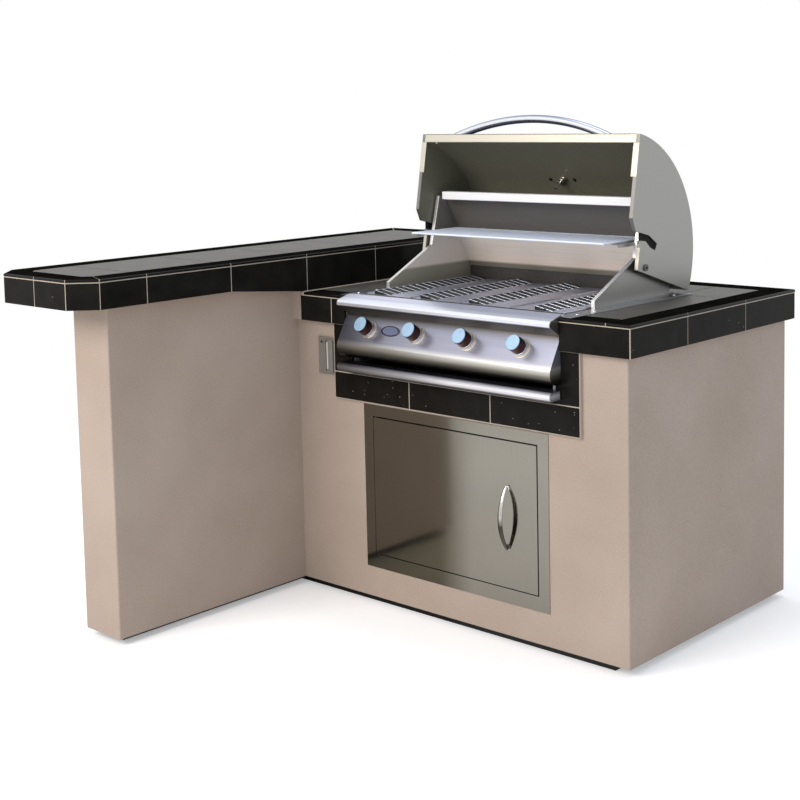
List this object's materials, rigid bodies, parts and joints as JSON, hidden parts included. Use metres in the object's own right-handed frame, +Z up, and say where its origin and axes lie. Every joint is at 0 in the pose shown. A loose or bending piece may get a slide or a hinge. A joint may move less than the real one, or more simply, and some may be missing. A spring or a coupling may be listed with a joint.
{
  "type": "outdoor kitchen island",
  "caption": "Outdoor kitchen island: stucco base with access door, tiled counter and raised tiled bar, and a drop-in gas grill with hood, knobs, grates and drip tray.",
  "frame": {"origin": "on the floor, in the plane of the base's front face, on the grill's centre line", "axes": "+X to the right of someone at the grill, +Y to the back, +Z up"},
  "size_m": [1.655, 1.696, 1.482],
  "materials": {
    "stucco": "rough",
    "tile": "polished",
    "grout": "rough",
    "deck_board": "rough",
    "backer_board": "rough",
    "stud_steel": "satin",
    "plinth_paint": "matte",
    "stainless": "brushed",
    "polished_steel": "polished",
    "brass": "satin",
    "plastic_grey": "satin",
    "socket": "satin",
    "magnet": "matte"
  },
  "bodies": {
    "island": {"plinth": "plinth_paint", "base_frame": "stud_steel", "bar_frame": "stud_steel", "board_front": "backer_board", "board_right": "backer_board", "board_back": "backer_board", "bar_boards": "backer_board", "stucco_coat": "stucco", "counter_deck": "deck_board", "counter_nailer": "deck_board", "counter_field_tiles": "tile", "counter_border_tiles": "tile", "counter_skirt_tiles": "tile", "counter_grout": "grout", "surround_tiles": "tile", "bar_deck": "deck_board", "bar_nailer": "deck_board", "bar_field_tiles": "tile", "bar_border_tiles": "tile", "bar_skirt_tiles": "tile", "bar_grout": "grout", "outlet_box": "stud_steel", "outlet_socket": "socket", "outlet_cover": "plastic_grey", "door_frame": "stainless", "door_catch": "magnet", "firebox": "stainless", "grill_flange": "stainless", "grill_side_walls": "stainless", "back_panel": "stainless", "front_lip": "stainless", "control_panel": "stainless", "knob_bezels": "polished_steel", "gas_manifold": "brass", "burners": "stainless", "box_ledges": "stainless", "heat_plates": "stainless", "hood_pivots": "polished_steel", "tray_guides": "stud_steel", "flange_screws": "polished_steel"},
    "door": {"door_panel": "stainless", "door_handle": "polished_steel"},
    "outlet_flap": {"outlet_lid": "plastic_grey"},
    "knob_1_body": {"knob_1": "polished_steel"},
    "knob_2_body": {"knob_2": "polished_steel"},
    "knob_3_body": {"knob_3": "polished_steel"},
    "knob_4_body": {"knob_4": "polished_steel"},
    "hood": {"hood_outer_skin": "stainless", "hood_inner_skin": "stainless", "hood_edge_strips": "stainless", "hood_side_panels": "stainless", "hood_handle": "polished_steel", "hood_thermometer": "polished_steel"},
    "tray": {"drip_tray": "stainless", "drip_tray_front": "stainless"},
    "grate_1_body": {"grate_1": "stainless"},
    "grate_2_body": {"grate_2": "stainless"},
    "grate_3_body": {"grate_3": "stainless"},
    "grate_4_body": {"grate_4": "stainless"},
    "rack": {"warming_rack": "polished_steel"}
  },
  "joints": [
    {"name": "hood_hinge", "type": "hinge", "parent": "island", "child": "hood", "pos_m": [0, 0.383, 1.043], "axis": [1, 0, 0], "range_deg": [0, 100]},
    {"name": "door_hinge", "type": "hinge", "parent": "island", "child": "door", "pos_m": [-0.303, 0.001, 0.372], "axis": [0, 0, -1], "range_deg": [0, 110]},
    {"name": "outlet_flap_hinge", "type": "hinge", "parent": "island", "child": "outlet_flap", "pos_m": [-0.503, -0.0093, 0.7525], "axis": [0, 0, -1], "range_deg": [0, 90]},
    {"name": "tray_slide", "type": "slide", "parent": "island", "child": "tray", "axis": [0, -1, 0], "range_m": [0, 0.35]},
    {"name": "knob_1_turn", "type": "hinge", "parent": "island", "child": "knob_1_body", "pos_m": [-0.288, -0.03216, 0.85483], "axis": [0, 0.8704, -0.4924], "range_deg": [0, 90]},
    {"name": "knob_2_turn", "type": "hinge", "parent": "island", "child": "knob_2_body", "pos_m": [-0.096, -0.03216, 0.85483], "axis": [0, 0.8704, -0.4924], "range_deg": [0, 90]},
    {"name": "knob_3_turn", "type": "hinge", "parent": "island", "child": "knob_3_body", "pos_m": [0.096, -0.03216, 0.85483], "axis": [0, 0.8704, -0.4924], "range_deg": [0, 90]},
    {"name": "knob_4_turn", "type": "hinge", "parent": "island", "child": "knob_4_body", "pos_m": [0.288, -0.03216, 0.85483], "axis": [0, 0.8704, -0.4924], "range_deg": [0, 90]},
    {"name": "grate_1_lift", "type": "slide", "parent": "island", "child": "grate_1_body", "axis": [0, 0, 1], "range_m": [0, 0.045]},
    {"name": "grate_2_lift", "type": "slide", "parent": "island", "child": "grate_2_body", "axis": [0, 0, 1], "range_m": [0, 0.045]},
    {"name": "grate_3_lift", "type": "slide", "parent": "island", "child": "grate_3_body", "axis": [0, 0, 1], "range_m": [0, 0.045]},
    {"name": "grate_4_lift", "type": "slide", "parent": "island", "child": "grate_4_body", "axis": [0, 0, 1], "range_m": [0, 0.045]},
    {"name": "rack_lift", "type": "slide", "parent": "island", "child": "rack", "axis": [0, 0, 1], "range_m": [0, 0.03]}
  ]
}
